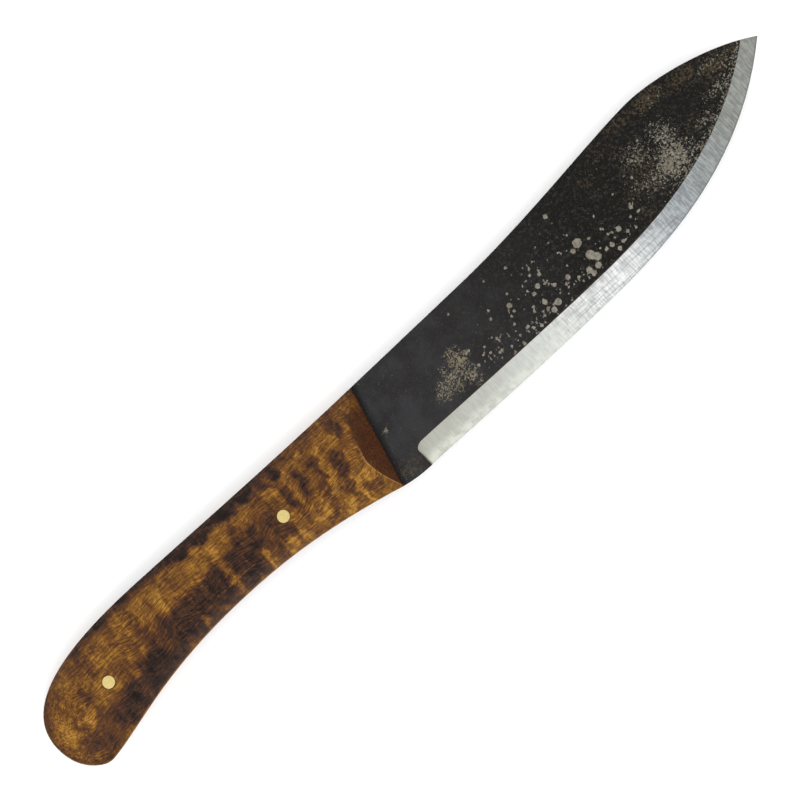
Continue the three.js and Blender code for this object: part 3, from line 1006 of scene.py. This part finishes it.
def maple_material():
    """Stained curly maple, with fibres that sway along the handle, pores, cracks, a lighter line along the
    grip's rim, and painted highlights along the facet's ridge and below the flat strip.
    """
    n = Nodes("stained_curly_maple", Specular_IOR_Level=0.07)
    behind_front = n.mark("behind_front")
    swayed = n.shifted(n.swing(n.noise(0.08, 1), 8.0))
    fibres = n.noise(1.0, 4, 0.7, place=n.stretched(0.26, 2.1, 2.1, source=swayed), distortion=0.25)
    silk = n.noise(1.0, 3, 0.6, place=n.stretched(0.9, 3.6, 3.6, source=swayed))
    streaks = n.noise(1.0, 3, 0.6, place=n.stretched(0.18, 2.4, 2.4, source=swayed), distortion=0.3)
    pores = n.fade(n.noise(1.0, 2, 0.5, place=n.stretched(0.5, 6.5, 6.5)), 0.64, 0.72)
    split = grain_lines(n, CRACKS, 0.24)
    # the first three lighter lines are a painted highlight below the flat strip's edge; the others are
    # paler lines in the wood
    pale_lines_and_highlight = n.times(grain_lines(n, PALE_LINES_AND_HIGHLIGHTS, 0.3), n.fade(silk, 0.4, 0.6, 0.0, 0.32))
    rim = n.times(n.fade(n.mark("from_grip"), 0.5, 0.1), n.fade(fibres, 0.35, 0.6, 0.2, 0.8))

    colour = faceted(n, stained_figure(n, fibres, silk), behind_front)
    colour = n.mix(n.fade(streaks, 0.53, 0.62, 0.0, 0.6), colour, STREAK)
    colour = n.mix(n.times(pores, 0.5), colour, PORE)
    colour = n.mix(pale_lines_and_highlight, colour, PALE_LINE_AND_HIGHLIGHT)
    colour = n.mix(n.times(split, 0.9), colour, CRACK)
    colour = n.mix(n.fade(n.mark("from_pin"), 0.25, 0.06, 0.0, 0.5), colour, PIN_RING)
    colour = n.mix(rim, colour, GRIP_RIM)
    colour = n.mix(n.fade(behind_front, 0.6, 0.1, 0.0, 0.7), colour, JOINT_LINE)
    relief = n.plus(n.times(fibres, 0.5), n.times(silk, 0.25), n.times(pores, -0.6), n.times(split, -1.5))
    return n.finish(
        Base_Color=colour,
        Roughness=n.fade(fibres, 0.3, 0.7, 0.46, 0.6),
        Normal=n.bump(relief, 0.03),
    )


def brass_material():
    """Brass sanded two ways, with fine crossed scratches."""
    n = Nodes("brushed_brass", Metallic=1.0)
    brushed = n.noise(1.0, 3, 0.6, place=n.stretched(0.8, 9.0, 1.0, turn=20))
    cross = n.noise(1.0, 3, 0.6, place=n.stretched(9.0, 0.8, 1.0, turn=20))
    hatch = n.plus(n.times(brushed, 0.6), n.times(cross, 0.4))
    colour = n.mix(n.fade(hatch, 0.35, 0.65), srgb(206, 186, 118), srgb(234, 212, 146))
    return n.finish(
        Base_Color=colour,
        Roughness=n.fade(hatch, 0.3, 0.7, 0.26, 0.4),
        Normal=n.bump(hatch, 0.01),
    )


def floor_material():
    return Nodes("white_floor", Roughness=0.9, Base_Color=FLOOR_WHITE).material


# ---------------------------------------------------------------- stage, light and camera

def stage():
    """A white floor under the knife."""
    mesh = bpy.data.meshes.new("floor")
    around = [(-1, -1), (1, -1), (1, 1), (-1, 1)]
    mesh.from_pydata([(x * FLOOR_HALF, y * FLOOR_HALF, 0) for x, y in around], [], [range(len(around))])
    mesh.materials.append(floor_material())
    floor = bpy.data.objects.new("floor", mesh)
    bpy.context.scene.collection.objects.link(floor)


def world():
    """An even white room."""
    made = bpy.data.worlds.new("soft_white_room")
    made.use_nodes = True
    background = made.node_tree.nodes["Background"]
    background.inputs["Color"].default_value = (1.0, 1.0, 1.0, 1.0)
    background.inputs["Strength"].default_value = ROOM_LIGHT
    bpy.context.scene.world = made


def softbox(name, direction, distance, size, power):
    """A square area light that faces the knife from a direction in the row frame."""
    data = bpy.data.lights.new(name, "AREA")
    data.size = size
    data.energy = power
    lamp = bpy.data.objects.new(name, data)
    out = Vector(direction).normalized()
    lamp.location = out * distance
    lamp.rotation_euler = out.to_track_quat("Z", "Y").to_euler()
    bpy.context.scene.collection.objects.link(lamp)


def camera():
    """A long lens over the knife, turned so that the knife lies on the slant."""
    data = bpy.data.cameras.new("camera")
    data.lens = CAMERA_LENS
    view = bpy.data.objects.new("camera", data)
    centre = (np.array([*CAMERA_CENTRE, 0]) + ORIGIN) * MM
    view.location = (centre[0], centre[1], centre[2] + CAMERA_DISTANCE * MM)
    view.rotation_euler = (0, 0, math.radians(CAMERA_TURN))
    bpy.context.scene.collection.objects.link(view)
    bpy.context.scene.camera = view


blade()
maple = maple_material()
handle_scale("right_handle_scale", 1, maple)
handle_scale("left_handle_scale", -1, maple)
brass = brass_material()
for name in PINS:
    pin(name, brass)
stage()
world()
for lamp in SOFTBOXES:
    softbox(*lamp)
camera()
bpy.context.scene.view_settings.view_transform = "Standard"
